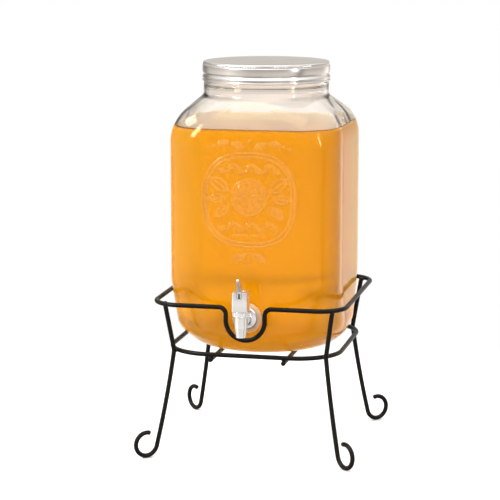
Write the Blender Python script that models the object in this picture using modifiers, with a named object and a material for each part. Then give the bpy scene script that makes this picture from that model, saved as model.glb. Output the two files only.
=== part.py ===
"""Glass drink dispenser with a screw lid and a lever tap, standing in a wire rack.

Metres, +Z up, the tap faces -Y. The origin is on the floor, at the middle of the whole object's
footprint. The jar's axis lies AXIS_Y behind it, because the tap reaches further forward than the
rack does backward. Every piece is modelled about the jar's axis and parented to one empty there.
"""

import bmesh
import bpy
import numpy as np
from math import cos, pi, radians, sin, sqrt, tan
from mathutils import Matrix, Vector

# ---------------------------------------------------------------- driving dimensions
GAP = 0.0003  # between pieces that touch
AXIS_Y = 0.0115  # the jar's axis, behind the middle of the footprint

# wire rack
WIRE = 0.0050  # diameter
UPPER_HALF, UPPER_CORNER, UPPER_Z = 0.1045, 0.030, 0.1705
LOWER_HALF, LOWER_CORNER, LOWER_Z = 0.0940, 0.0485, 0.1158
DIP_HALF, DIP_DEPTH, DIP_FILLET = 0.0212, 0.0350, 0.0075
BAR_X, BAR_OVERHANG = 0.040, 0.0015
LEG_KINK = 0.0838  # x and y of the kink, outside the lower ring's corner
LEG_SPLAY = radians(42.0)  # direction in which a leg leans out, from the X axis
LEG_TOP_OUT, LEG_FOOT_OUT = 0.0112, 0.0345  # outward from the kink: top end, middle of the scroll
LEG_BOW = 0.0012
LEG_BEND = 0.016  # radius of the kink
SCROLL_R = 0.0128
SCROLL_END = radians(107.0)  # angle at which the scroll's tip stops

# glass jar
JAR_HALF, JAR_CORNER = 0.0945, 0.0460
JAR_WALL, JAR_FLOOR, NECK_WALL = 0.0040, 0.0060, 0.0050
JAR_BASE_Z = LOWER_Z - WIRE / 2
HEEL_IN, HEEL_HIGH = 0.0370, 0.0300
HEEL_ROUNDING = 0.0770  # height over which the corners grow rounder towards the base
PUNT = 0.0025  # the base is hollow by this much
SHOULDER_Z, SHOULDER_R, SHOULDER_SLOPE = 0.3412, 0.0428, radians(53.1)
NECK_R, NECK_FILLET = 0.0686, 0.0068
FINISH_R, FINISH_Z = 0.0650, 0.4052  # the threaded part, above the neck's ledge
LEDGE_HIGH = 0.0030  # the neck draws in to the finish over this height
THREAD_HIGH, THREAD_PITCH, THREAD_Z, THREAD_TURNS = 0.0018, 0.0060, 0.4105, 1.25
RIM_Z, RIM_ROUND = 0.4228, 0.0010
SHOULDER_WALL, SHOULDER_WALL_Z = 1.35, 0.3580  # the wall is this many times thicker above this height
INNER_FLOOR_R = 0.0500

# screw lid
LID_R, LID_TOP_Z, LID_BOTTOM_Z, LID_SHEET = 0.0698, 0.4255, 0.4046, 0.0008
LID_EDGE, LID_CURL = 0.0020, 0.0003  # rounding of the top edge, and how far the lower edge stands out
GROOVE_Z, GROOVE_HALF, GROOVE_DEEP = 0.4122, 0.0024, 0.0011
GASKET_R, GASKET_THICK = 0.0672, 0.0014

# tap
TAP_Y, SHANK_Z = -0.1245, 0.1584
SHANK_R, SHANK_BORE, SHANK_IN = 0.0078, 0.0040, 0.0150  # SHANK_IN: reach inside the glass
CLEAR = 0.0004  # round a shank or a stem in its hole
FLANGE_R, FLANGE_THICK, ARM_R = 0.0120, 0.0030, 0.0058
OUTER_WASHER_R, INNER_WASHER_R, WASHER_THICK = 0.0162, 0.0140, 0.0020
NUT_R, NUT_THICK = 0.0145, 0.0070
NOZZLE_Z, NOZZLE_TIP_R, NOZZLE_TOP_R = 0.1430, 0.0053, 0.0071
OUTLET_R, SEAT_R, CHAMBER_R, SEAT_Z, SEAT_LOW_Z = 0.0041, 0.0036, 0.0056, 0.1522, 0.1490
COLLAR_R, COLLAR_Z, COLLAR_TOP_Z, COLLAR_SLOTS = 0.0093, 0.1660, 0.1715, 10
SLOT_WIDE, SLOT_DEEP, SLOT_HIGH = 0.0016, 0.0032, 0.0034
BONNET_WIDE, BONNET_DEEP, BONNET_TAPER = 0.0168, 0.0180, 0.965
BONNET_TOP_Z, BONNET_CAVITY_R, BONNET_FLOOR_Z = 0.1925, 0.0070, 0.1840
BONNET_FLOOR_THICK, BONNET_CORNER, BONNET_RIM = 0.0020, 0.0022, 0.0008
LEVER_SLOT, LEVER_WIDE, LEVER_BACK = 0.0054, 0.0046, 0.0056
LEVER_LEAN, LEVER_LONG, LEVER_TIP_R, BLADE_HALF = radians(38.0), 0.0253, 0.0023, 0.0028
PIN_R, PIN_Z, PIN_HALF = 0.0010, 0.1880, 0.0022
FORK_DEEP = 0.0034  # the lever's fork ends this far above the pin
STEM_R, STEM_FOOT_R, TONGUE_THICK, TONGUE_HALF, TONGUE_LOW = 0.0018, 0.0012, 0.0016, 0.0018, 0.0085
STEM_FOOT_UP, STEM_FOOT_HIGH = 0.0020, 0.0040  # the stem's thin foot, above the seat
SPRING_SEAT_R, SPRING_SEAT_THICK, SPRING_SEAT_Z = 0.0046, 0.0014, 0.1737
GLAND_DROP = 0.0010  # the gland seal reaches this far below the collar
SEAL_R, SEAL_BORE, SEAL_HIGH, SEAL_LIP = 0.0051, 0.0015, 0.0048, 0.0006
VALVE_LIFT, LEVER_SWING = 0.0040, radians(60.0)
SPRING_WIRE, SPRING_R, SPRING_TURNS = 0.0007, 0.0039, 4.5
OVERCUT = 0.0050  # how far a cutter runs past what it cuts

ROUND = 40  # sides of a turned piece

# ---------------------------------------------------------------- scene and helpers
for old in list(bpy.data.objects):
    bpy.data.objects.remove(old, do_unlink=True)

parts = bpy.data.collections.new("beverage_dispenser")
cutters = bpy.data.collections.new("cutters")
bpy.context.scene.collection.children.link(parts)
bpy.context.scene.collection.children.link(cutters)
cutters.hide_render = True

axis = bpy.data.objects.new("jar_axis", None)
axis.location = (0, AXIS_Y, 0)
parts.objects.link(axis)


def material(name, colour, roughness, metallic=0.0, transmission=0.0):
    made = bpy.data.materials.new(name)
    made.use_nodes = True
    shader = made.node_tree.nodes["Principled BSDF"]
    shader.inputs["Base Color"].default_value = (*colour, 1)
    shader.inputs["Roughness"].default_value = roughness
    shader.inputs["Metallic"].default_value = metallic
    shader.inputs["Transmission Weight"].default_value = transmission
    made.diffuse_color = (*colour, 1)
    return made


BLACK_WIRE = material("black_powder_coat", (0.020, 0.018, 0.017), 0.42)
GLASS = material("clear_glass", (0.86, 0.90, 0.88), 0.03, transmission=0.9)
TINPLATE = material("brushed_tinplate", (0.62, 0.62, 0.60), 0.30, metallic=1.0)
CHROME = material("chrome_plate", (0.86, 0.87, 0.88), 0.08, metallic=1.0)
WHITE_PLASTIC = material("white_plastic", (0.86, 0.86, 0.84), 0.30)
SILICONE = material("clear_silicone", (0.93, 0.80, 0.70), 0.45, transmission=0.3)
STEEL = material("stainless_steel", (0.70, 0.70, 0.69), 0.25, metallic=1.0)
LINER = material("white_liner", (0.88, 0.87, 0.83), 0.55)


def placed(obj, collection=parts):
    collection.objects.link(obj)
    obj.parent = axis
    return obj


def from_mesh(name, mesh, finish, at=(0, 0, 0), sharp=35):
    mesh.materials.append(finish)
    mesh.shade_smooth()
    mesh.set_sharp_from_angle(angle=radians(sharp))
    obj = bpy.data.objects.new(name, mesh)
    obj.location = at
    return placed(obj)


def from_bmesh(name, shape, finish, at=(0, 0, 0), sharp=35):
    mesh = bpy.data.meshes.new(name)
    bmesh.ops.recalc_face_normals(shape, faces=shape.faces)
    shape.to_mesh(mesh)
    shape.free()
    return from_mesh(name, mesh, finish, at, sharp)


def turned(name, profile, finish, at=(0, 0, 0), sides=ROUND):
    """A profile of (radius, height) points, outer side first and downwards, turned about Z."""
    shape = bmesh.new()
    points = [shape.verts.new((r, 0, z)) for r, z in profile]
    closed = profile[0][0] > 0 and profile[-1][0] > 0
    for a, b in zip(points, points[1:] + points[:1] if closed else points[1:]):
        shape.edges.new((a, b))
    mesh = bpy.data.meshes.new(name)
    shape.to_mesh(mesh)
    shape.free()
    obj = from_mesh(name, mesh, finish, at)
    screw = obj.modifiers.new("turn", "SCREW")
    screw.steps = screw.render_steps = sides
    screw.use_merge_vertices = True
    screw.merge_threshold = 1e-6
    screw.use_smooth_shade = True
    return obj


def cylinder(name, radius, height, centre, along="Z", sides=ROUND):
    """A cutter or a raw solid, centred on its middle."""
    shape = bmesh.new()
    bmesh.ops.create_cone(
        shape, cap_ends=True, segments=sides, radius1=radius, radius2=radius, depth=height
    )
    turn = {"Z": Matrix(), "Y": Matrix.Rotation(pi / 2, 4, "X"), "X": Matrix.Rotation(pi / 2, 4, "Y")}
    bmesh.ops.transform(shape, matrix=Matrix.Translation(centre) @ turn[along], verts=shape.verts)
    return raw(name, shape)


def box(name, low, high):
    shape = bmesh.new()
    bmesh.ops.create_cube(shape, size=1)
    low, high = Vector(low), Vector(high)
    bmesh.ops.scale(shape, vec=high - low, verts=shape.verts)
    bmesh.ops.translate(shape, vec=(low + high) / 2, verts=shape.verts)
    return raw(name, shape)


def raw(name, shape):
    """A helper shape for a Boolean, in the cutters' collection."""
    mesh = bpy.data.meshes.new(name)
    bmesh.ops.recalc_face_normals(shape, faces=shape.faces)
    shape.to_mesh(mesh)
    shape.free()
    obj = bpy.data.objects.new(name, mesh)
    obj.hide_render = True
    obj.display_type = "WIRE"
    return placed(obj, cutters)


def boolean(obj, other, operation="DIFFERENCE"):
    step = obj.modifiers.new(operation.lower(), "BOOLEAN")
    step.operation = operation
    step.object = other
    step.solver = "EXACT"


def wire(name, points, diameter, finish, cyclic=False, resolution=2):
    curve = bpy.data.curves.new(name, "CURVE")
    curve.dimensions = "3D"
    curve.bevel_depth = diameter / 2
    curve.bevel_resolution = resolution
    curve.use_fill_caps = True
    curve.twist_mode = "MINIMUM"
    line = curve.splines.new("POLY")
    line.points.add(len(points) - 1)
    for node, point in zip(line.points, points):
        node.co = (*point, 1)
    line.use_cyclic_u = cyclic
    curve.materials.append(finish)
    return placed(bpy.data.objects.new(name, curve))


def arc(centre, radius, start, end, count):
    """Points on a circle in a plane, as (u, v) pairs."""
    return [
        (centre[0] + radius * cos(a), centre[1] + radius * sin(a))
        for a in np.linspace(start, end, count)
    ]


# ---------------------------------------------------------------- rack
def rounded_square(half, corner, per_corner=9):
    """The outline of a ring, anticlockwise from the front edge's right end."""
    inner = half - corner
    outline = []
    for x, y, start in ((1, -1, -90), (1, 1, 0), (-1, 1, 90), (-1, -1, 180)):
        turn = radians(start)
        outline += arc((x * inner, y * inner), corner, turn, turn + pi / 2, per_corner)
    return outline


def dip_outline():
    """The U in the front edge, from left to right, as (x, height below the ring)."""
    bottom = DIP_DEPTH - DIP_HALF
    left = arc((-DIP_HALF - DIP_FILLET, -DIP_FILLET), DIP_FILLET, pi / 2, 0, 6)
    return left + arc((0, -bottom), DIP_HALF, pi, 2 * pi, 17) + [(-x, z) for x, z in left[::-1]]


def upper_ring():
    ring = [(x, y, UPPER_Z) for x, y in rounded_square(UPPER_HALF, UPPER_CORNER)]
    ring += [(x, -UPPER_HALF, UPPER_Z + z) for x, z in dip_outline()]
    wire("upper_ring", ring, WIRE, BLACK_WIRE, cyclic=True)


def lower_ring():
    ring = [(x, y, LOWER_Z) for x, y in rounded_square(LOWER_HALF, LOWER_CORNER, 11)]
    wire("lower_ring", ring, WIRE, BLACK_WIRE, cyclic=True)


def cross_bar(name, side):
    reach = LOWER_HALF + WIRE / 2 + BAR_OVERHANG
    height = LOWER_Z - WIRE - GAP
    points = [(side * BAR_X, y, height) for y in np.linspace(-reach, reach, 4)]
    wire(name, points, WIRE, BLACK_WIRE)


def leg_outline():
    """One leg in its own upright plane, as (distance out from the kink, height), top to tip."""
    centre = Vector((LEG_FOOT_OUT, WIRE / 2 + SCROLL_R))
    kink = Vector((0, LOWER_Z))
    reach = centre - kink
    slope = np.arctan2(reach.y, reach.x) - np.arcsin(SCROLL_R / reach.length)
    run = sqrt(reach.length_squared - SCROLL_R**2)
    along = Vector((cos(slope), sin(slope)))
    top = Vector((LEG_TOP_OUT, UPPER_Z))
    down = (kink - top).normalized()
    half_turn = down.angle(along) / 2
    cut = LEG_BEND * tan(half_turn)
    bend_from, bend_to = kink - down * cut, kink + along * cut
    points = [top.lerp(bend_from, t) for t in np.linspace(0, 1, 5)]
    points += [bend_from.lerp(kink, t).lerp(kink.lerp(bend_to, t), t) for t in (0.33, 0.67)]
    inward = Vector((along.y, -along.x))
    foot = kink + along * run
    for t in np.linspace(0, 1, 9):
        points.append(bend_to.lerp(foot, t) + inward * LEG_BOW * 4 * t * (1 - t))
    start = np.arctan2(foot.y - centre.y, foot.x - centre.x) % (2 * pi)
    scroll = arc(centre, SCROLL_R, start, 2 * pi + SCROLL_END, 19)
    return [tuple(p) for p in points] + scroll[1:]


def leg(name, x_side, y_side):
    points = [
        (x_side * (LEG_KINK + out * cos(LEG_SPLAY)), y_side * (LEG_KINK + out * sin(LEG_SPLAY)), z)
        for out, z in leg_outline()
    ]
    wire(name, points, WIRE, BLACK_WIRE)


# ---------------------------------------------------------------- glass jar
def body_section(z):
    """Half width and corner radius of the jar's outer side at a height, up to the neck."""
    up = z - JAR_BASE_Z
    low = max(0.0, 1 - up / HEEL_HIGH)
    half = JAR_HALF - HEEL_IN * (1 - sqrt(max(0.0, 1 - low * low)))
    corner = JAR_CORNER + (JAR_HALF - JAR_CORNER) * max(0.0, 1 - up / HEEL_ROUNDING)
    share = shoulder_share(z)
    half += (NECK_R - JAR_HALF) * share
    corner += (NECK_R - JAR_CORNER) * share
    return half, min(corner, half)


# The shoulder is drawn as the jar shows it a little off its face: a round arc, a straight slope
# and a fillet into the neck. These are the inward reach and the height of each.
SHOULDER_IN = (JAR_HALF - JAR_CORNER) * 1.2 + JAR_CORNER - NECK_R
ARC_IN, ARC_HIGH = SHOULDER_R * (1 - cos(SHOULDER_SLOPE)), SHOULDER_R * sin(SHOULDER_SLOPE)
FILLET_IN, FILLET_HIGH = NECK_FILLET * (1 - cos(SHOULDER_SLOPE)), NECK_FILLET * sin(SHOULDER_SLOPE)
SLOPE_HIGH = (SHOULDER_IN - ARC_IN - FILLET_IN) / tan(SHOULDER_SLOPE)
NECK_Z = SHOULDER_Z + ARC_HIGH + SLOPE_HIGH + FILLET_HIGH


def shoulder_share(z):
    """How far the section has drawn in from the body, 0, to the neck, 1."""
    up = max(0.0, z - SHOULDER_Z)
    below = max(0.0, NECK_Z - z)
    if up < ARC_HIGH:
        drop = SHOULDER_R - sqrt(SHOULDER_R**2 - up**2)
    elif below > FILLET_HIGH:
        drop = ARC_IN + (up - ARC_HIGH) * tan(SHOULDER_SLOPE)
    else:
        drop = SHOULDER_IN - NECK_FILLET + sqrt(NECK_FILLET**2 - below**2)
    return drop / SHOULDER_IN


def inner_floor(z):
    """Height of the jar's inner side where its outer side is at z, never below the glass floor."""
    return z + JAR_FLOOR * max(0.0, 1 - (z - JAR_BASE_Z) / HEEL_HIGH)


def section_points(half, corner, z, per_corner=11):
    return [(x, y, z) for x, y in rounded_square(half, corner, per_corner)]


def thread_height(angle, z):
    """How far the thread's ridge stands out at a place on the finish."""
    turns = (z - THREAD_Z) / THREAD_PITCH - angle / (2 * pi)
    ridge = turns - round(turns)
    started = z - THREAD_Z - THREAD_PITCH * THREAD_TURNS / 2
    fade = max(0.0, min(1.0, (THREAD_PITCH * THREAD_TURNS / 2 - abs(started)) / 0.001))
    return THREAD_HIGH * max(0.0, 1 - (ridge * 3.2) ** 2) * fade


def neck_points(radius, z, count, thread=False):
    points = []
    for step in range(count):
        angle = 2 * pi * (step + 0.5) / count - pi / 2
        r = radius + (thread_height(angle, z) if thread else 0.0)
        points.append((r * cos(angle), r * sin(angle), z))
    return points


def loft(rings):
    """Closed skin through rings of the same number of points, capped at both ends."""
    shape = bmesh.new()
    rows = [[shape.verts.new(p) for p in ring] for ring in rings]
    count = len(rows[0])
    for low, high in zip(rows, rows[1:]):
        for i in range(count):
            j = (i + 1) % count
            shape.faces.new((low[i], low[j], high[j], high[i]))
    shape.faces.new(rows[0][::-1])
    shape.faces.new(rows[-1])
    return shape


def glass_jar():
    per_corner = 11
    count = 4 * per_corner
    heel = JAR_BASE_Z + HEEL_HIGH * (1 - np.cos(np.linspace(0, pi / 2, 9)))
    body = [JAR_BASE_Z + HEEL_ROUNDING * 0.6, JAR_BASE_Z + HEEL_ROUNDING, 0.265, SHOULDER_Z]
    shoulder = np.linspace(SHOULDER_Z, NECK_Z, 12)[1:-1]
    outer_z = [*heel, *body, *shoulder]
    punt_r = (JAR_HALF - HEEL_IN) * 0.80
    rings = [
        section_points(punt_r * 0.72, punt_r * 0.72, JAR_BASE_Z + PUNT, per_corner),
        section_points(punt_r, punt_r, JAR_BASE_Z, per_corner),
    ]
    rings += [section_points(*body_section(z), z, per_corner) for z in outer_z]
    rings += [section_points(NECK_R, NECK_R, z, per_corner) for z in (NECK_Z, FINISH_Z - LEDGE_HIGH)]
    rings.append(neck_points(FINISH_R, FINISH_Z, count))
    for z in np.linspace(FINISH_Z + 0.002, RIM_Z - 0.003, 14):
        rings.append(neck_points(FINISH_R, z, count, thread=True))
    mouth = FINISH_R - NECK_WALL
    rings.append(neck_points(FINISH_R, RIM_Z - RIM_ROUND, count))
    rings.append(neck_points(FINISH_R - RIM_ROUND, RIM_Z, count))
    rings.append(neck_points(mouth + RIM_ROUND, RIM_Z, count))
    rings.append(neck_points(mouth, RIM_Z - RIM_ROUND, count))
    rings.append(neck_points(mouth, FINISH_Z - LEDGE_HIGH, count))
    for z in [*shoulder[::-1], *body[::-1], *heel[:2:-1]]:
        half, corner = body_section(z)
        wall = JAR_WALL * (SHOULDER_WALL if z > SHOULDER_WALL_Z else 1.0)
        rings.append(section_points(half - wall, corner - wall, inner_floor(z), per_corner))
    rings.append(section_points(INNER_FLOOR_R, INNER_FLOOR_R, JAR_BASE_Z + JAR_FLOOR, per_corner))
    jar = from_bmesh("glass_jar", loft(rings), GLASS, sharp=50)
    boolean(jar, cylinder("tap_hole", SHANK_R + CLEAR, 0.03, (0, -JAR_HALF, SHANK_Z), "Y"))


# ---------------------------------------------------------------- lid
def lid_cap():
    """A cap of even sheet: a flat top, a straight side with a rolled groove, and a curled edge."""
    top, low, thin = LID_TOP_Z, LID_BOTTOM_Z, LID_SHEET
    crown = [(0, top), *arc((LID_R - LID_EDGE, top - LID_EDGE), LID_EDGE, pi / 2, 0, 5)]
    groove = [
        (LID_R - GROOVE_DEEP * deep, GROOVE_Z + GROOVE_HALF * up)
        for up, deep in ((1, 0), (0.5, 0.5), (0, 1), (-0.5, 0.5), (-1, 0))
    ]
    side = [*groove, (LID_R + LID_CURL, low + 4 * LID_CURL), (LID_R, low)]
    inside = [(r - thin, z) for r, z in side[::-1]]
    inside += [(LID_R - thin, top - LID_EDGE), (LID_R - LID_EDGE, top - thin), (0, top - thin)]
    turned("lid_cap", crown + side + inside, TINPLATE, sides=64)


def lid_gasket():
    top = LID_TOP_Z - LID_SHEET - GAP
    low = top - GASKET_THICK
    turned("lid_gasket", [(0, top), (GASKET_R, top), (GASKET_R, low), (0, low)], LINER, sides=48)


# ---------------------------------------------------------------- tap
FACE_Y = -JAR_HALF
INNER_FACE_Y = -JAR_HALF + JAR_WALL


def disc_on_shank(name, radius, bore, near, thick, finish, sides=ROUND):
    """A washer, nut or flange on the shank's axis, from y = near inwards to near + thick."""
    disc = turned(
        name,
        [(radius, thick), (radius, 0), (bore, 0), (bore, thick)],
        finish,
        at=(0, near, SHANK_Z),
        sides=sides,
    )
    disc.rotation_euler = (-pi / 2, 0, 0)
    return disc


def nut(near, bore):
    """A hexagon nut on the shank, inside the jar."""
    shape = bmesh.new()
    bmesh.ops.create_cone(
        shape, cap_ends=True, segments=6, radius1=NUT_R, radius2=NUT_R, depth=NUT_THICK
    )
    nut_body = from_bmesh("tap_lock_nut", shape, WHITE_PLASTIC, at=(0, near + NUT_THICK / 2, SHANK_Z))
    nut_body.rotation_euler = (pi / 2, 0, 0)
    middle = (0, near + NUT_THICK / 2, SHANK_Z)
    boolean(nut_body, cylinder("nut_bore", bore, NUT_THICK + 2 * OVERCUT, middle, "Y", 32))


def tap_body():
    washer_face = FACE_Y - GAP - WASHER_THICK - GAP
    flange_near = washer_face - FLANGE_THICK
    shank_end = INNER_FACE_Y + SHANK_IN
    profile = [
        (0.0, COLLAR_TOP_Z),
        (COLLAR_R, COLLAR_TOP_Z),
        (COLLAR_R, COLLAR_Z + 0.0010),
        (COLLAR_R - 0.0010, COLLAR_Z),
        (NOZZLE_TOP_R, COLLAR_Z - 0.0002),
        (NOZZLE_TOP_R - 0.0003, SHANK_Z - 0.0050),
        (NOZZLE_TIP_R, NOZZLE_Z + 0.0006),
        (NOZZLE_TIP_R - 0.0005, NOZZLE_Z),
        (0.0, NOZZLE_Z),
    ]
    body = turned("tap_body", profile, CHROME, at=(0, TAP_Y, 0), sides=32)
    arm_long = flange_near + 0.001 - TAP_Y
    arm = cylinder("tap_arm", ARM_R, arm_long, (0, TAP_Y + arm_long / 2, SHANK_Z), "Y", 24)
    flange_mid = (flange_near + washer_face) / 2
    flange = cylinder("tap_flange", FLANGE_R, FLANGE_THICK, (0, flange_mid, SHANK_Z), "Y")
    shank_long = shank_end - flange_mid
    shank_mid = (shank_end + flange_mid) / 2
    shank = cylinder("shank", SHANK_R, shank_long, (0, shank_mid, SHANK_Z), "Y", 32)
    for piece in (arm, flange, shank):
        boolean(body, piece, "UNION")
    bore_long = shank_end + OVERCUT - TAP_Y
    bore = cylinder("shank_bore", SHANK_BORE, bore_long, (0, TAP_Y + bore_long / 2, SHANK_Z), "Y", 24)
    chamber_high = COLLAR_TOP_Z + OVERCUT - SEAT_Z
    chamber = cylinder(
        "chamber", CHAMBER_R, chamber_high, (0, TAP_Y, SEAT_Z + chamber_high / 2), sides=24
    )
    seat = cylinder("seat_bore", SEAT_R, 2 * OVERCUT, (0, TAP_Y, SEAT_Z), sides=24)
    outlet_high = SEAT_LOW_Z + OVERCUT - NOZZLE_Z
    outlet = cylinder("outlet", OUTLET_R, outlet_high, (0, TAP_Y, SEAT_LOW_Z - outlet_high / 2), sides=24)
    for cut in (bore, chamber, seat, outlet):
        boolean(body, cut)
    boolean(body, slot_cutters())


def slot_cutters():
    """Upright windows round the collar, in one cutter, short of the chamber."""
    shape = bmesh.new()
    for step in range(COLLAR_SLOTS):
        turn = Matrix.Rotation(2 * pi * (step + 0.5) / COLLAR_SLOTS, 4, "Z")
        move = Matrix.Translation((0, TAP_Y, (COLLAR_Z + COLLAR_TOP_Z) / 2))
        size = Matrix.Diagonal((SLOT_DEEP, SLOT_WIDE, SLOT_HIGH, 1))
        place = Matrix.Translation((COLLAR_R, 0, 0))
        bmesh.ops.create_cube(shape, size=1, matrix=move @ turn @ place @ size)
    return raw("collar_slots", shape)


def tap_bonnet():
    """A square block, rounded and drawn in a little towards the top, bored for the valve."""
    low = COLLAR_TOP_Z + GAP
    high = BONNET_TOP_Z - low
    shape = bmesh.new()
    bmesh.ops.create_cube(shape, size=1)
    bmesh.ops.scale(shape, vec=(BONNET_WIDE, BONNET_DEEP, high), verts=shape.verts)
    top = [v for v in shape.verts if v.co.z > 0]
    bmesh.ops.scale(shape, vec=(BONNET_TAPER, BONNET_TAPER, 1), verts=top)
    upright = [e for e in shape.edges if abs(e.verts[0].co.z - e.verts[1].co.z) > high / 2]
    bmesh.ops.bevel(shape, geom=upright, offset=BONNET_CORNER, segments=4, profile=0.5, affect="EDGES")
    rim = [e for e in shape.edges if min(v.co.z for v in e.verts) > high / 2 - 1e-6]
    bmesh.ops.bevel(shape, geom=rim, offset=BONNET_RIM, segments=2, profile=0.5, affect="EDGES")
    bonnet = from_bmesh("tap_bonnet", shape, CHROME, at=(0, TAP_Y, low + high / 2))
    ceiling = BONNET_FLOOR_Z - BONNET_FLOOR_THICK
    cavity_high = ceiling - low + OVERCUT
    cavity = cylinder("bonnet_cavity", BONNET_CAVITY_R, cavity_high, (0, TAP_Y, ceiling - cavity_high / 2))
    hole = cylinder("stem_hole", STEM_R + CLEAR, 2 * OVERCUT, (0, TAP_Y, ceiling), sides=24)
    half = LEVER_SLOT / 2
    slot = box(
        "lever_slot",
        (-half, TAP_Y - BONNET_DEEP, BONNET_FLOOR_Z),
        (half, TAP_Y + LEVER_BACK, BONNET_TOP_Z + OVERCUT),
    )
    for cut in (cavity, hole, slot):
        boolean(bonnet, cut)


def cam_outline():
    """The lever's side outline about its pin, as (forward, up).

    The foot is a cam on the bonnet's floor. The further the lever is turned, the higher the cam
    holds its pin, by the same amount for each degree, so the valve rises evenly.
    """
    low = PIN_Z - BONNET_FLOOR_Z - GAP
    rate = VALVE_LIFT / LEVER_SWING
    cam = []
    for turn in np.linspace(0, LEVER_SWING, 9):
        reach = low + rate * turn
        down = -pi / 2 - turn
        normal = Vector((cos(down), sin(down)))
        tangent = Vector((-sin(down), cos(down)))
        cam.append(normal * reach - tangent * rate)
    back = [Vector(p) for p in arc((0, 0), low, radians(20), -pi / 2, 8)]
    out = Vector((-sin(LEVER_LEAN), cos(LEVER_LEAN)))
    behind = Vector((out.y, -out.x))
    tip_at = out * (LEVER_LONG - LEVER_TIP_R)
    tip = [Vector(p) for p in arc(tip_at, LEVER_TIP_R, LEVER_LEAN + pi, LEVER_LEAN, 8)]
    nose = [cam[-1] + Vector((-0.0003, 0.0015)), out * 0.0085 - behind * BLADE_HALF]
    return back + cam + nose + tip + [out * 0.0060 + behind * BLADE_HALF]


def tap_lever():
    shape = bmesh.new()
    outline = [shape.verts.new((-LEVER_WIDE / 2, p.x, p.y)) for p in cam_outline()]
    face = shape.faces.new(outline)
    grown = bmesh.ops.extrude_face_region(shape, geom=[face])
    moved = [v for v in grown["geom"] if isinstance(v, bmesh.types.BMVert)]
    bmesh.ops.translate(shape, vec=(LEVER_WIDE, 0, 0), verts=moved)
    lever = from_bmesh("tap_lever", shape, CHROME, at=(0, TAP_Y, PIN_Z))
    half = TONGUE_THICK / 2 + GAP
    fork = box(
        "fork_slot",
        (-half, TAP_Y - 0.02, PIN_Z - 0.02),
        (half, TAP_Y + 0.02, PIN_Z + FORK_DEEP),
    )
    hole = cylinder("lever_pin_hole", PIN_R + GAP, 0.01, (0, TAP_Y, PIN_Z), "X", 20)
    boolean(lever, fork)
    boolean(lever, hole)


def lever_pin():
    shape = bmesh.new()
    bmesh.ops.create_cone(
        shape, cap_ends=True, segments=16, radius1=PIN_R, radius2=PIN_R, depth=2 * PIN_HALF
    )
    pin = from_bmesh("lever_pin", shape, STEEL, at=(0, TAP_Y, PIN_Z))
    pin.rotation_euler = (0, pi / 2, 0)


def valve_stem():
    """A rod with a tongue for the lever's pin, a shoulder under the spring and a foot in the seal."""
    foot, tongue_low = SEAT_Z + STEM_FOOT_UP, PIN_Z - TONGUE_LOW
    seat_top, seat_low = SPRING_SEAT_Z, SPRING_SEAT_Z - SPRING_SEAT_THICK
    profile = [
        (0.0, tongue_low),
        (STEM_R, tongue_low),
        (STEM_R, seat_top),
        (SPRING_SEAT_R, seat_top),
        (SPRING_SEAT_R, seat_low),
        (STEM_R, seat_low),
        (STEM_R, foot + STEM_FOOT_HIGH),
        (STEM_FOOT_R, foot + STEM_FOOT_HIGH),
        (STEM_FOOT_R, foot),
        (0.0, foot),
    ]
    stem = turned("valve_stem", profile, WHITE_PLASTIC, at=(0, TAP_Y, 0), sides=20)
    half = TONGUE_THICK / 2
    shape = bmesh.new()
    root = -TONGUE_LOW - STEM_R / 2
    outline = [(TONGUE_HALF, root), *arc((0, 0), TONGUE_HALF, 0, pi, 7), (-TONGUE_HALF, root)]
    face = shape.faces.new([shape.verts.new((-half, TAP_Y + y, PIN_Z + z)) for y, z in outline])
    grown = bmesh.ops.extrude_face_region(shape, geom=[face])
    moved = [v for v in grown["geom"] if isinstance(v, bmesh.types.BMVert)]
    bmesh.ops.translate(shape, vec=(TONGUE_THICK, 0, 0), verts=moved)
    boolean(stem, raw("stem_tongue", shape), "UNION")
    boolean(stem, cylinder("tongue_hole", PIN_R + GAP, 2 * OVERCUT, (0, TAP_Y, PIN_Z), "X", 16))


def valve_seal():
    low = SEAT_Z + GAP
    profile = [
        (SPRING_SEAT_R, low + SEAL_HIGH),
        (SEAL_R, low + 5 * SEAL_LIP),
        (SEAL_R, low + SEAL_LIP),
        (SEAL_R - SEAL_LIP, low),
        (SEAL_BORE, low),
        (SEAL_BORE, low + SEAL_HIGH),
    ]
    turned("valve_seal", profile, SILICONE, at=(0, TAP_Y, 0), sides=24)


def tap_gland_seal():
    low, high = COLLAR_Z - GLAND_DROP, COLLAR_TOP_Z - STEM_R
    bore, rim = STEM_R + GAP, CHAMBER_R - 2 * GAP
    turned(
        "tap_gland_seal",
        [(rim, high), (rim, low), (bore, low), (bore, high)],
        SILICONE,
        at=(0, TAP_Y, 0),
        sides=24,
    )


def valve_spring():
    low = SPRING_SEAT_Z + GAP + SPRING_WIRE / 2
    high = BONNET_FLOOR_Z - BONNET_FLOOR_THICK - GAP - SPRING_WIRE / 2
    steps = int(12 * SPRING_TURNS)
    points = []
    for step in range(steps + 1):
        turn = 2 * pi * SPRING_TURNS * step / steps
        height = low + (high - low) * step / steps
        points.append((SPRING_R * cos(turn), TAP_Y + SPRING_R * sin(turn), height))
    wire("valve_spring", points, SPRING_WIRE, STEEL, resolution=1)


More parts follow.
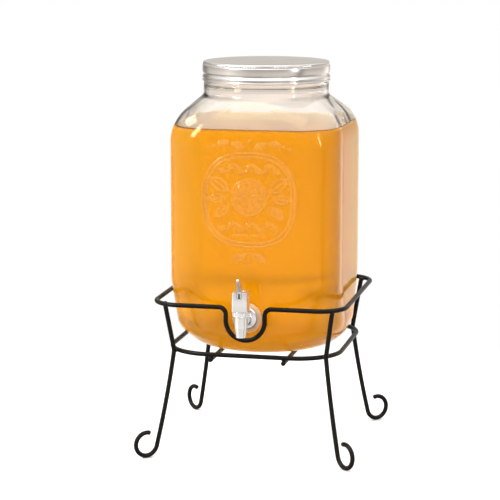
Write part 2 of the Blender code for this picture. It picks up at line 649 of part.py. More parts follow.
# ---------------------------------------------------------------- build
def main():
    upper_ring()
    lower_ring()
    cross_bar("cross_bar_left", -1)
    cross_bar("cross_bar_right", 1)
    for depth, y_side in (("front", -1), ("back", 1)):
        for side, x_side in (("left", -1), ("right", 1)):
            leg(f"leg_{depth}_{side}", x_side, y_side)

    glass_jar()
    lid_cap()
    lid_gasket()

    washer_near = FACE_Y - GAP - WASHER_THICK
    inner_near = INNER_FACE_Y + GAP
    nut_near = inner_near + WASHER_THICK + GAP
    clear_bore = SHANK_R + CLEAR
    disc_on_shank("tap_outer_washer", OUTER_WASHER_R, clear_bore, washer_near, WASHER_THICK, SILICONE)
    disc_on_shank("tap_inner_washer", INNER_WASHER_R, clear_bore, inner_near, WASHER_THICK, SILICONE)
    nut(nut_near, clear_bore)

    tap_body()
    tap_bonnet()
    tap_gland_seal()
    valve_stem()
    valve_seal()
    valve_spring()
    lever_pin()
    tap_lever()


main()
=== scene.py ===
"""The looks of the glass drink dispenser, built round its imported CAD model.

Metres, +Z up, the tap faces -Y, and everything stands about the jar's upright axis.
"""

from math import cos, pi, radians, sin, sqrt, tan

import bmesh
import bpy
import numpy as np
from mathutils import Matrix, Vector


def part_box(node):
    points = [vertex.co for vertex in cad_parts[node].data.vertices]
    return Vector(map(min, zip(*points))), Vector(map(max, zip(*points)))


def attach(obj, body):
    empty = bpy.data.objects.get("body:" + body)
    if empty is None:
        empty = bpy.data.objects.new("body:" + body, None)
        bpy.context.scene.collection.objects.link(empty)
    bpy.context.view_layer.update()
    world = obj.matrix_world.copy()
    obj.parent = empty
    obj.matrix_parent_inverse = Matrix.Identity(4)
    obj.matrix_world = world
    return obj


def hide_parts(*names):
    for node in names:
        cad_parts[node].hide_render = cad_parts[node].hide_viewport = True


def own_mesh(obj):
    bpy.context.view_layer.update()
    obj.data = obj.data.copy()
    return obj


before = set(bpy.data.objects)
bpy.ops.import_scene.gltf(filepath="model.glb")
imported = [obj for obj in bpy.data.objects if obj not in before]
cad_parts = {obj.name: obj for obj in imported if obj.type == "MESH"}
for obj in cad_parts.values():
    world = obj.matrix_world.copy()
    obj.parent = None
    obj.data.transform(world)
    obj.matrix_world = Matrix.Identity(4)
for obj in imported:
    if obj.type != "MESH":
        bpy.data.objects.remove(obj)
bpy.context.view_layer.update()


# ---------------- places, from the frame
def middle(node):
    low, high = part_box(node)
    return (low + high) / 2


def size(node):
    low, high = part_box(node)
    return high - low


JAR_LOW, JAR_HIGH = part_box("glass_jar")
AXIS_Y = (JAR_LOW.y + JAR_HIGH.y) / 2
WIRE = size("cross_bar_left").z
UPPER_HALF = size("upper_ring").x / 2 - WIRE / 2
UPPER_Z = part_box("upper_ring")[1].z - WIRE / 2
LOWER_HALF = size("lower_ring").x / 2 - WIRE / 2
LOWER_Z = middle("lower_ring").z
BAR_X, BAR_Z = middle("cross_bar_right").x, middle("cross_bar_right").z
BAR_HALF = size("cross_bar_right").y / 2
JAR_HALF = size("glass_jar").x / 2
JAR_BASE_Z, RIM_Z = JAR_LOW.z, JAR_HIGH.z
LID_LOW_Z, LID_TOP_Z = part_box("lid_cap")[0].z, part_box("lid_cap")[1].z
LID_R = size("lid_cap").x / 2 - 0.0003
TAP_Y = middle("lever_pin").y - AXIS_Y  # from the jar's axis
TAP_AXIS_Y = AXIS_Y + TAP_Y
PIN_Z = middle("lever_pin").z
SHANK_Z = middle("tap_outer_washer").z
NOZZLE_Z, COLLAR_TOP_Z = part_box("tap_body")[0].z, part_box("tap_body")[1].z
BONNET_LOW_Z, BONNET_TOP_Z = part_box("tap_bonnet")[0].z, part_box("tap_bonnet")[1].z

# ---------------- sizes that the boxes don't show
UPPER_CORNER, LOWER_CORNER = 0.030, 0.0485
DIP_HALF, DIP_DEPTH, DIP_FILLET = 0.0212, 0.0350, 0.0075
LEG_KINK, LEG_SPLAY = 0.0838, radians(42.0)
LEG_TOP_OUT, LEG_FOOT_OUT, LEG_BOW, LEG_BEND = 0.0112, 0.0345, 0.0012, 0.016
SCROLL_R, SCROLL_END = 0.0128, radians(107.0)
JAR_CORNER, JAR_WALL, JAR_FLOOR, NECK_WALL = 0.0460, 0.0040, 0.0060, 0.0050
HEEL_IN, HEEL_HIGH, HEEL_ROUNDING, PUNT = 0.0370, 0.0300, 0.0770, 0.0025
SHOULDER_Z, SHOULDER_R, SHOULDER_SLOPE = 0.3412, 0.0428, radians(53.1)
NECK_R, NECK_FILLET, FINISH_R, FINISH_Z = 0.0686, 0.0068, 0.0650, 0.4052
THREAD_HIGH, THREAD_PITCH, THREAD_Z, THREAD_TURNS = 0.0018, 0.0060, 0.4105, 1.25
DRINK_Z, MENISCUS = 0.3570, 0.0020  # the drink's level, and how far it climbs at the glass
RELIEF, RELIEF_STEP = 0.0010, 0.0009  # the ornament's height, and the mesh's step under it
INNER_WAVE = 0.00030
TAP_HOLE_R = 0.0080
FLOOR_R = 0.60

# ---------------- camera
VIEW_AZIMUTH, VIEW_ELEVATION = radians(12.75), radians(9.97)
VIEW_DISTANCE, LENS, SENSOR = 2.1617, 140.14, 36.0
AIM_RIGHT, AIM_Z = -0.01787, 0.2155


def look_from(made, aim, azimuth, elevation, distance):
    """Turns a camera or a light to its aim, from a place round from the front and up."""
    flat = cos(elevation)
    back = Vector((sin(azimuth) * flat, -cos(azimuth) * flat, sin(elevation)))
    made.location = aim + back * distance
    made.rotation_euler = back.to_track_quat("Z", "Y").to_euler()


def camera():
    data = bpy.data.cameras.new("camera")
    data.lens = LENS
    data.sensor_width = SENSOR
    data.clip_end = 50
    made = linked("camera", data)
    right = Vector((cos(VIEW_AZIMUTH), sin(VIEW_AZIMUTH), 0))
    aim = Vector((0, AXIS_Y, AIM_Z)) + right * AIM_RIGHT
    look_from(made, aim, VIEW_AZIMUTH, VIEW_ELEVATION, VIEW_DISTANCE)
    bpy.context.scene.camera = made


# ---------------- shader nodes
def give(tree, node, socket, value):
    """Joins an input to another node's output, or sets its value."""
    if isinstance(value, bpy.types.NodeSocket):
        tree.links.new(value, node.inputs[socket])
    else:
        node.inputs[socket].default_value = value


def add_node(tree, kind, **inputs):
    """A new node; an input's name is written with _ for each space."""
    made = tree.nodes.new("ShaderNode" + kind)
    for socket, value in inputs.items():
        give(tree, made, socket.replace("_", " "), value)
    return made


def add_ramp(tree, value, stops):
    """A colour ramp through stops of (place, colour)."""
    made = add_node(tree, "ValToRGB", Fac=value)
    points = made.color_ramp.elements
    while len(points) < len(stops):
        points.new(0.5)
    for point, (at, colour) in zip(points, stops):
        point.position = at
        point.color = (*colour, 1)
    return made.outputs["Color"]


def map_range(tree, value, **limits):
    """The value carried from the span From_Min, From_Max to the span To_Min, To_Max."""
    return add_node(tree, "MapRange", Value=value, **limits).outputs["Result"]


class Finish:
    """A Principled material with short names for its nodes, laid out in the object's own space."""

    def __init__(self, name, colour, roughness, metallic=0.0, **sockets):
        self.material = bpy.data.materials.new(name)
        self.material.use_nodes = True
        self.tree = self.material.node_tree
        self.shader = self.tree.nodes["Principled BSDF"]
        self.bsdf = self.shader.outputs["BSDF"]
        self.set("Base Color", (*colour, 1))
        self.set("Roughness", roughness)
        self.set("Metallic", metallic)
        for socket, value in sockets.items():
            self.set(socket.replace("_", " "), value)
        self.place = self.node("TexCoord").outputs["Object"]

    def set(self, socket, value):
        give(self.tree, self.shader, socket, value)

    def node(self, kind, **inputs):
        return add_node(self.tree, kind, **inputs)

    def noise(self, scale, detail=3.0, stretch=(1, 1, 1)):
        place = self.node("Mapping", Vector=self.place, Scale=stretch).outputs["Vector"]
        return self.node("TexNoise", Vector=place, Scale=scale, Detail=detail).outputs["Fac"]

    def colours(self, value, stops):
        self.set("Base Color", add_ramp(self.tree, value, stops))

    def rough(self, value, low, high):
        self.set("Roughness", map_range(self.tree, value, To_Min=low, To_Max=high))

    def bump(self, value, depth, strength):
        made = self.node("Bump", Height=value, Distance=depth, Strength=strength)
        self.set("Normal", made.outputs["Normal"])

    def blend(self, kind, first, second, **inputs):
        """Two shaders put together by a MixShader, whose Fac is the second's share, or an AddShader."""
        made = self.node(kind, **inputs)
        ends = [socket for socket in made.inputs if socket.type == "SHADER"]
        for shader, socket in zip((first, second), ends):
            self.tree.links.new(shader, socket)
        return made.outputs["Shader"]

    def finish_with(self, socket, shader):
        give(self.tree, self.tree.nodes["Material Output"], socket, shader)


# ---------------- materials
def powder_coat():
    coat = Finish("black_powder_coat", (0.004, 0.003, 0.0025), 0.36, Specular_IOR_Level=0.16)
    coat.colours(coat.noise(55), [(0.3, (0.003, 0.0025, 0.002)), (0.75, (0.006, 0.005, 0.004))])
    coat.rough(coat.noise(180), 0.30, 0.44)
    coat.bump(coat.noise(1500, 2), 0.00010, 0.45)
    return coat.material


FROSTING, CLOUDINESS, SURFACE_SHEEN = 0.10, 0.17, 0.70  # shares of light


def clear_glass():
    """Slightly wavy glass, with a little frosting on the flanks of its relief so that it shows."""
    glass = Finish("clear_glass", (0.965, 0.945, 0.925), 0.0, IOR=1.47, Transmission_Weight=1.0)
    glass.set("Specular IOR Level", 0.18)
    glass.set("Specular Tint", (1.0, 0.74, 0.46, 1))
    glass.rough(glass.noise(12), 0.045, 0.055)
    glass.bump(glass.noise(38, 2, (1, 1, 0.22)), 0.0006, 0.3)
    height = glass.node("Attribute").outputs["Fac"]
    height.node.attribute_name = "relief"
    flanks = ((0.0, 0.0), (0.25, 1.0), (0.6, 0.2), (1.0, 0.25))
    flank = add_ramp(glass.tree, height, [(at, (level,) * 3) for at, level in flanks])
    frost = glass.node("BsdfDiffuse", Color=(1.0, 0.90, 0.70, 1)).outputs["BSDF"]
    share = map_range(glass.tree, flank, To_Max=FROSTING)
    glass.finish_with("Surface", glass.blend("MixShader", glass.bsdf, frost, Fac=share))
    return glass.material


def orange_drink():
    """A slightly cloudy drink: it blurs what is seen through it, spreads a small share of the
    light, and mirrors the room in its level surface."""
    drink = Finish("orange_drink", (1.0, 0.97, 0.55), 0.10, IOR=1.34, Transmission_Weight=1.0)
    drink.set("Specular IOR Level", 0.3)
    drink.set("Specular Tint", (1.0, 0.62, 0.12, 1))
    drink.colours(drink.noise(9), [(0.3, (1.0, 0.96, 0.50)), (0.75, (1.0, 0.985, 0.60))])
    drink.rough(drink.noise(25), 0.278, 0.290)
    drink.bump(drink.noise(30), 0.0003, 0.15)
    onward = drink.node("BsdfTranslucent", Color=(1.0, 0.70, 0.02, 1)).outputs["BSDF"]
    back = drink.node("BsdfDiffuse", Color=(1.0, 0.60, 0.0, 1)).outputs["BSDF"]
    spread = drink.blend("AddShader", onward, back)
    cloudy = drink.blend("MixShader", drink.bsdf, spread, Fac=CLOUDINESS)
    normal = drink.node("NewGeometry").outputs["Normal"]
    upward = drink.node("SeparateXYZ", Vector=normal).outputs["Z"]
    share = map_range(drink.tree, upward, From_Min=0.75, From_Max=0.95, To_Max=SURFACE_SHEEN)
    sheen = drink.node("BsdfAnisotropic", Color=(1.0, 0.96, 0.92, 1), Roughness=0.12).outputs["BSDF"]
    drink.finish_with("Surface", drink.blend("MixShader", cloudy, sheen, Fac=share))
    volume = drink.node("VolumeAbsorption", Color=(1.0, 0.892, 0.0, 1), Density=48.0)
    drink.finish_with("Volume", volume.outputs["Volume"])
    return drink.material


def tinplate():
    tin = Finish("brushed_tinplate", (0.66, 0.64, 0.62), 0.22, 1.0)
    tin.colours(tin.noise(18), [(0.3, (0.60, 0.585, 0.57)), (0.7, (0.67, 0.655, 0.64))])
    tin.rough(tin.noise(60, 4, (1, 1, 14)), 0.15, 0.27)
    tin.bump(tin.noise(45, 2, (1, 1, 2)), 0.0002, 0.12)
    return tin.material


def chrome():
    plate = Finish("chrome_plate", (0.80, 0.81, 0.83), 0.10, 0.84)
    plate.rough(plate.noise(240), 0.07, 0.15)
    plate.bump(plate.noise(160, 1), 0.0001, 0.25)
    return plate.material


def silicone():
    soft = Finish("clear_silicone", (0.93, 0.62, 0.36), 0.38, IOR=1.41, Transmission_Weight=0.35)
    soft.colours(soft.noise(90), [(0.3, (0.90, 0.55, 0.30)), (0.8, (0.97, 0.72, 0.48))])
    soft.rough(soft.noise(300), 0.30, 0.46)
    soft.bump(soft.noise(700), 0.00005, 0.3)
    return soft.material


def white_plastic():
    nylon = Finish("white_nylon", (0.82, 0.82, 0.80), 0.34)
    nylon.colours(nylon.noise(70), [(0.3, (0.79, 0.79, 0.76)), (0.8, (0.85, 0.85, 0.83))])
    nylon.rough(nylon.noise(260), 0.27, 0.42)
    nylon.bump(nylon.noise(900), 0.00004, 0.3)
    return nylon.material


def steel():
    drawn = Finish("drawn_steel", (0.62, 0.62, 0.61), 0.24, 1.0)
    drawn.colours(drawn.noise(300), [(0.3, (0.55, 0.55, 0.54)), (0.8, (0.68, 0.68, 0.67))])
    drawn.rough(drawn.noise(800, 2), 0.16, 0.32)
    return drawn.material


def liner():
    foam = Finish("foam_liner", (0.84, 0.83, 0.79), 0.6)
    foam.colours(foam.noise(110), [(0.3, (0.80, 0.79, 0.75)), (0.8, (0.87, 0.86, 0.83))])
    foam.rough(foam.noise(400), 0.52, 0.7)
    foam.bump(foam.noise(1600), 0.0001, 0.4)
    return foam.material


def pale_floor():
    """White board whose rim fades away, so that it leaves no edge in the glass."""
    board = Finish("pale_floor", (0.93, 0.93, 0.925), 0.7)
    board.colours(board.noise(3), [(0.3, (0.925, 0.925, 0.92)), (0.8, (0.94, 0.94, 0.935))])
    board.bump(board.noise(60), 0.0002, 0.1)
    away = board.node("VectorMath", Vector=board.place)
    away.operation = "LENGTH"
    reach = away.outputs["Value"]
    fade = map_range(board.tree, reach, From_Min=FLOOR_R * 0.42, From_Max=FLOOR_R * 0.97)
    fade.node.interpolation_type = "SMOOTHSTEP"
    gone = board.node("BsdfTransparent").outputs["BSDF"]
    board.finish_with("Surface", board.blend("MixShader", board.bsdf, gone, Fac=fade))
    return board.material


# ---------------- mesh helpers
EDGE_ANGLE = radians(32)  # cut and joined pieces have sharp shading past it


def smooth_step(t):
    t = np.clip(t, 0, 1)
    return t * t * (3 - 2 * t)


def linked(name, data):
    made = bpy.data.objects.new(name, data)
    bpy.context.scene.collection.objects.link(made)
    return made


def mesh_of(name, shape):
    mesh = bpy.data.meshes.new(name)
    shape.to_mesh(mesh)
    shape.free()
    return mesh


def as_object(name, mesh, finish, sharp=None):
    mesh.materials.append(finish)
    mesh.shade_smooth()
    if sharp is not None:
        mesh.set_sharp_from_angle(angle=radians(sharp))
    return linked(name, mesh)


def skin(name, rows, finish, sharp=None, close_rows=False):
    """A closed surface over rows of points, each row a loop; its ends are capped, or joined."""
    rows = np.asarray(rows, float)
    count, across = rows.shape[:2]
    faces = []
    last = count if close_rows else count - 1
    for r in range(last):
        a, b = r * across, ((r + 1) % count) * across
        faces += [(a + i, a + (i + 1) % across, b + (i + 1) % across, b + i) for i in range(across)]
    if not close_rows:
        faces.append(tuple(range(across))[::-1])
        faces.append(tuple(range((count - 1) * across, count * across)))
    mesh = bpy.data.meshes.new(name)
    mesh.from_pydata(rows.reshape(-1, 3).tolist(), [], faces)
    outward(mesh)
    return as_object(name, mesh, finish, sharp)


def outward(mesh):
    shape = bmesh.new()
    shape.from_mesh(mesh)
    bmesh.ops.recalc_face_normals(shape, faces=shape.faces)
    if shape.calc_volume(signed=True) < 0:
        bmesh.ops.reverse_faces(shape, faces=shape.faces)
    shape.to_mesh(mesh)
    shape.free()


END_BULGE = 0.35  # how far a tube's rounded end stands out, in radii


def tube_rows(points, radius, sides, cyclic):
    """Rings round a path, turned as little as possible from one to the next."""
    path = np.array(points, float)
    if cyclic:
        tangents = np.roll(path, -1, 0) - np.roll(path, 1, 0)
    else:
        tangents = np.gradient(path, axis=0)
    tangents /= np.linalg.norm(tangents, axis=1)[:, None]
    side = np.cross(tangents[0], (0.13, 0.27, 0.95))
    sides_at = []
    for t in tangents:
        side = side - t * (side @ t)
        side /= np.linalg.norm(side)
        sides_at.append(side.copy())
    if cyclic:  # spread the twist that is left at the seam
        ahead = sides_at[-1] - tangents[0] * (sides_at[-1] @ tangents[0])
        ahead /= np.linalg.norm(ahead)
        twist = np.arctan2(np.cross(sides_at[0], ahead) @ tangents[0], sides_at[0] @ ahead)
        for i, t in enumerate(tangents):
            a = -twist * i / len(path)
            s = sides_at[i]
            sides_at[i] = s * cos(a) + np.cross(t, s) * sin(a)
    angles = np.linspace(0, 2 * pi, sides, endpoint=False)
    rows = []

    def ring(i, share, ahead):
        s = sides_at[i]
        up = np.cross(tangents[i], s)
        r = radius * share
        centre = path[i] + tangents[i] * ahead
        rows.append([centre + r * (cos(a) * s + sin(a) * up) for a in angles])

    ends = [] if cyclic else [(sin(a), cos(a)) for a in np.linspace(0.12, pi / 2, 6)[:-1]]
    for share, out in ends:
        ring(0, share, -out * radius * END_BULGE)
    for i in range(len(path)):
        ring(i, 1.0, 0.0)
    for share, out in ends[::-1]:
        ring(-1, share, out * radius * END_BULGE)
    return rows


def tube(name, points, radius, finish, sides, cyclic=False):
    rows = tube_rows(points, radius, sides, cyclic)
    return skin(name, rows, finish, close_rows=cyclic)


def turn(name, profile, finish, steps=96, sharp=30, close=False, shape=None, centre=(0, 0)):
    """A profile of (radius, height) turned about an upright axis at centre, from the jar's axis."""
    profile = np.array(profile, float)
    angles = np.linspace(0, 2 * pi, steps, endpoint=False)
    radius = np.maximum(profile[:, :1], 1e-5) + np.zeros((1, steps))
    height = profile[:, 1:] + np.zeros((1, steps))
    if shape is not None:
        radius = shape(radius, height, angles[None, :])
    x = centre[0] + radius * np.cos(angles)
    y = AXIS_Y + centre[1] + radius * np.sin(angles)
    return skin(name, np.stack([x, y, height], -1), finish, sharp, close_rows=close)


def arc(centre, radius, start, end, count):
    angles = np.linspace(start, end, count)
    return [(centre[0] + radius * cos(a), centre[1] + radius * sin(a)) for a in angles]


def soften(points, size, segments=4):
    """Rounds the corners of an open (radius, height) profile."""
    points = [Vector(p) for p in points]
    out = [points[0]]
    for before, here, after in zip(points, points[1:], points[2:]):
        reach = min(size, (before - here).length * 0.45, (after - here).length * 0.45)
        start = here + (before - here).normalized() * reach
        end = here + (after - here).normalized() * reach
        for t in np.linspace(0, 1, segments + 1):
            out.append(start.lerp(here, t).lerp(here.lerp(end, t), t))
    return [tuple(p) for p in out + [points[-1]]]


def solid(name, shape, finish, sharp=30):
    bmesh.ops.recalc_face_normals(shape, faces=shape.faces)
    return as_object(name, mesh_of(name, shape), finish, sharp)


def cut(piece, cutters, width):
    """Cuts the piece, rounds its edges where a width is given, and applies it all."""
    for other in cutters:
        step = piece.modifiers.new("cut", "BOOLEAN")
        step.operation = "DIFFERENCE"
        step.object = other
        step.solver = "EXACT"
    if width:
        edge = piece.modifiers.new("edge", "BEVEL")
        edge.width = width
        edge.segments = 3
        edge.limit_method = "ANGLE"
        edge.angle_limit = radians(35)
    bpy.context.view_layer.update()
    worked_out = piece.evaluated_get(bpy.context.evaluated_depsgraph_get())
    made = bpy.data.meshes.new_from_object(worked_out)
    piece.modifiers.clear()
    piece.data = made
    made.shade_smooth()
    made.set_sharp_from_angle(angle=EDGE_ANGLE)
    for other in cutters:
        bpy.data.objects.remove(other, do_unlink=True)


def cutter(kind, place, scale, turn=Matrix()):
    """A box of side 1 or a cylinder of radius and height 1, scaled, turned and placed."""
    shape = bmesh.new()
    if kind == "cube":
        bmesh.ops.create_cube(shape, size=1)
    else:
        bmesh.ops.create_cone(shape, cap_ends=True, segments=48, radius1=1, radius2=1, depth=1)
    matrix = Matrix.Translation(place) @ turn @ Matrix.Diagonal((*scale, 1))
    bmesh.ops.transform(shape, matrix=matrix, verts=shape.verts)
    return linked("cutter", mesh_of("cutter", shape))


def drill(place, radius, deep, turn=Matrix()):
    return cutter("cone", place, (radius, radius, deep), turn)


def stands_for(piece, body, slot, *nodes):
    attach(piece, body)
    if nodes:
        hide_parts(*nodes)


# ---------------- rack
def rounded_square(half, corner, per_corner):
    inner = half - corner
    outline = []
    for x, y, start in ((1, -1, -90), (1, 1, 0), (-1, 1, 90), (-1, -1, 180)):
        begin = radians(start)
        outline += arc((x * inner, y * inner), corner, begin, begin + pi / 2, per_corner)
    return outline


def dip_outline():
    """The U in the upper ring's front edge, from left to right, as (x, height)."""
    bottom = DIP_DEPTH - DIP_HALF
    left = arc((-DIP_HALF - DIP_FILLET, -DIP_FILLET), DIP_FILLET, pi / 2, 0, 14)
    return left + arc((0, -bottom), DIP_HALF, pi, 2 * pi, 40) + [(-x, z) for x, z in left[::-1]]


def leg_outline():
    """One leg in its own upright plane, as (distance out from the kink, height), top to tip."""
    centre = Vector((LEG_FOOT_OUT, WIRE / 2 + SCROLL_R))
    kink = Vector((0, LOWER_Z))
    reach = centre - kink
    slope = np.arctan2(reach.y, reach.x) - np.arcsin(SCROLL_R / reach.length)
    run = sqrt(reach.length_squared - SCROLL_R**2)
    along = Vector((cos(slope), sin(slope)))
    top = Vector((LEG_TOP_OUT, UPPER_Z))
    down = (kink - top).normalized()
    half_turn = down.angle(along) / 2
    reach_in = LEG_BEND * tan(half_turn)
    bend_from, bend_to = kink - down * reach_in, kink + along * reach_in
    points = [top.lerp(bend_from, t) for t in np.linspace(0, 1, 10)]
    for t in np.linspace(0.1, 0.9, 7):
        points.append(bend_from.lerp(kink, t).lerp(kink.lerp(bend_to, t), t))
    inward = Vector((along.y, -along.x))
    foot = kink + along * run
    for t in np.linspace(0, 1, 22):
        points.append(bend_to.lerp(foot, t) + inward * LEG_BOW * 4 * t * (1 - t))
    start = np.arctan2(foot.y - centre.y, foot.x - centre.x) % (2 * pi)
    return [tuple(p) for p in points] + arc(centre, SCROLL_R, start, 2 * pi + SCROLL_END, 48)[1:]


def leg_path(x_side, y_side):
    return [
        (
            x_side * (LEG_KINK + out * cos(LEG_SPLAY)),
            AXIS_Y + y_side * (LEG_KINK + out * sin(LEG_SPLAY)),
            z,
        )
        for out, z in leg_outline()
    ]


def rack(finish):
    upper = [(x, y + AXIS_Y, UPPER_Z) for x, y in rounded_square(UPPER_HALF, UPPER_CORNER, 22)]
    upper += [(x, AXIS_Y - UPPER_HALF, UPPER_Z + z) for x, z in dip_outline()]
    lower = [(x, y + AXIS_Y, LOWER_Z) for x, y in rounded_square(LOWER_HALF, LOWER_CORNER, 30)]

    def bend(node, path, cyclic=False):
        wire = tube(node + "_wire", path, WIRE / 2, finish, 24, cyclic)
        stands_for(wire, "rack", "black_wire", node)

    bend("upper_ring", upper, cyclic=True)
    bend("lower_ring", lower, cyclic=True)
    for side, name in ((-1, "left"), (1, "right")):
        along = np.linspace(-BAR_HALF, BAR_HALF, 30)
        bend(f"cross_bar_{name}", [(side * BAR_X, AXIS_Y + y, BAR_Z) for y in along])
    for y_side, depth in ((-1, "front"), (1, "back")):
        for x_side, side in ((-1, "left"), (1, "right")):
            bend(f"leg_{depth}_{side}", leg_path(x_side, y_side))
    weld_beads(finish)


BEAD_SIZE, BEAD_ROUGH = (0.0026, 0.0026, 0.0019), 0.00012


def weld_beads(finish):
    """The small fused lumps where two wires cross, under the same coat."""
    outwards = Vector((cos(LEG_SPLAY), sin(LEG_SPLAY)))
    kink = Vector((LEG_KINK, LEG_KINK))
    inner_kink = kink - outwards * WIRE / 2
    top = kink + outwards * (LEG_TOP_OUT + WIRE * 0.28)
    places = []
    for x in (-1, 1):
        for y in (-1, 1):
            places.append(Vector((x * BAR_X, AXIS_Y + y * LOWER_HALF, (BAR_Z + LOWER_Z) / 2)))
            places.append(Vector((x * inner_kink.x, AXIS_Y + y * inner_kink.y, LOWER_Z)))
            places.append(Vector((x * top.x, AXIS_Y + y * top.y, UPPER_Z - WIRE * 0.22)))
    shape = bmesh.new()
    for place in places:
        bead = bmesh.ops.create_icosphere(shape, subdivisions=3, radius=1.0)["verts"]
        matrix = Matrix.Translation(place) @ Matrix.Diagonal((*BEAD_SIZE, 1))
        bmesh.ops.transform(shape, matrix=matrix, verts=bead)
    for vert in shape.verts:
        lump = sin(vert.co.x * 4200) * sin(vert.co.z * 3900)
        vert.co += vert.co.normalized() * BEAD_ROUGH * lump
    stands_for(solid("weld_beads", shape, finish, None), "rack", "black_wire")


# ---------------- glass jar
# The shoulder's outline, drawn as it is seen some 13 degrees off the jar's face: a round arc, a
# slope and a fillet into the neck
OFF_FACE = 1.2  # cosine plus sine of that angle
SHOULDER_IN = (JAR_HALF - JAR_CORNER) * OFF_FACE + JAR_CORNER - NECK_R
ARC_IN = SHOULDER_R * (1 - cos(SHOULDER_SLOPE))
ARC_HIGH = SHOULDER_R * sin(SHOULDER_SLOPE)
FILLET_IN = NECK_FILLET * (1 - cos(SHOULDER_SLOPE))
FILLET_HIGH = NECK_FILLET * sin(SHOULDER_SLOPE)
SLOPE_HIGH = (SHOULDER_IN - ARC_IN - FILLET_IN) / tan(SHOULDER_SLOPE)
NECK_Z = SHOULDER_Z + ARC_HIGH + SLOPE_HIGH + FILLET_HIGH


def shoulder_share(z):
    """How far the section has drawn in from the body, 0, to the neck, 1."""
    up = max(0.0, z - SHOULDER_Z)
    below = max(0.0, NECK_Z - z)
    if up < ARC_HIGH:
        drop = SHOULDER_R - sqrt(SHOULDER_R**2 - up**2)
    elif below > FILLET_HIGH:
        drop = ARC_IN + (up - ARC_HIGH) * tan(SHOULDER_SLOPE)
    else:
        drop = SHOULDER_IN - NECK_FILLET + sqrt(NECK_FILLET**2 - below**2)
    return drop / SHOULDER_IN


def body_section(z):
    """Half width and corner radius of the jar's outer side at a height, up to the neck."""
    up = z - JAR_BASE_Z
    low = min(1.0, max(0.0, 1 - up / HEEL_HIGH))
    half = JAR_HALF - HEEL_IN * (1 - sqrt(max(0.0, 1 - low * low)))
    corner = JAR_CORNER + (JAR_HALF - JAR_CORNER) * max(0.0, 1 - up / HEEL_ROUNDING)
    share = shoulder_share(z)
    half += (NECK_R - JAR_HALF) * share
    corner += (NECK_R - JAR_CORNER) * share
    return half, min(corner, half)


def reach_of(half, corner, angles):
    """Distance from the axis to a rounded square, in each direction."""
    c, s = np.abs(np.cos(angles)), np.abs(np.sin(angles))
    c, s = np.maximum(c, s), np.minimum(c, s)
    flat = half - corner
    under_root = flat**2 * (c + s) ** 2 - 2 * flat**2 + corner**2
    curve = flat * (c + s) + np.sqrt(np.maximum(0, under_root))
    return np.where(s * half <= c * flat, half / c, curve)


def jar_angles(front_step, front_half, other_steps):
    """Directions round the jar from its front, close together where the ornament is."""
    count = int(2 * front_half / front_step)
    front = np.arctan(np.linspace(-front_half, front_half, count) / JAR_HALF)
    rest = np.linspace(front[-1], 2 * pi + front[0], other_steps + 2)[1:-1]
    return np.concatenate([front, rest])


def ring_points(radius, z, angles):
    radius = radius + np.zeros_like(angles)
    z = z + np.zeros_like(angles)
    return np.stack([radius * np.sin(angles), AXIS_Y - radius * np.cos(angles), z], -1)


def wall_waves(angles, z):
    """Slow flutes in the inner wall, as pressing leaves them."""
    swing = np.sin(9 * angles + 0.7) * 0.5 + np.sin(17 * angles + 2.1 + 6 * z) * 0.3
    return swing + np.sin(31 * angles + 4.0 - 11 * z) * 0.2


SHOULDER_THINNING = 0.30  # the share of its wall that the shoulder has lost


def inner_row(z, angles, grow=0.0):
    """The jar's inner side at a height of its outer side, as a ring of points."""
    half, corner = body_section(z)
    wall = JAR_WALL * (1 - SHOULDER_THINNING * float(smooth_step((z - SHOULDER_Z) / 0.03)))
    floor = z + JAR_FLOOR * max(0.0, 1 - (z - JAR_BASE_Z) / HEEL_HIGH)
    reach = reach_of(half - wall, max(corner - wall, 0.004), angles)
    fade = float(smooth_step((z - JAR_BASE_Z - 0.01) / 0.03) * smooth_step((NECK_Z - z) / 0.02))
    reach = reach + wall_waves(angles, z) * INNER_WAVE * fade + grow
    return ring_points(reach, floor, angles)


def thread_height(angles, z):
    """How far the thread stands out, round the neck at one height."""
    turns = (z - THREAD_Z) / THREAD_PITCH - (angles - pi / 2) / (2 * pi)
    ridge = turns - np.round(turns)
    half_high = THREAD_PITCH * THREAD_TURNS / 2
    fade = np.clip((half_high - abs(z - THREAD_Z - half_high)) / 0.001, 0, 1)
    return THREAD_HIGH * smooth_step(1 - np.abs(ridge) * 2.6) * fade


def heel_heights(count):
    """Heights up the heel, closest together at its foot."""
    return list(JAR_BASE_Z + HEEL_HIGH * (1 - np.cos(np.linspace(0, pi / 2, count))))


LEDGE_HIGH, LIP_R = 0.003, 0.0016  # the step below the thread, and the rounded rim
MOUTH_R = FINISH_R - NECK_WALL
UNDERSIDE = ((0.04, 1.0), (0.3, 1.0), (0.58, 1.0), (0.66, 0.85), (0.72, 0.5), (0.78, 0.15), (0.84, 0.0))


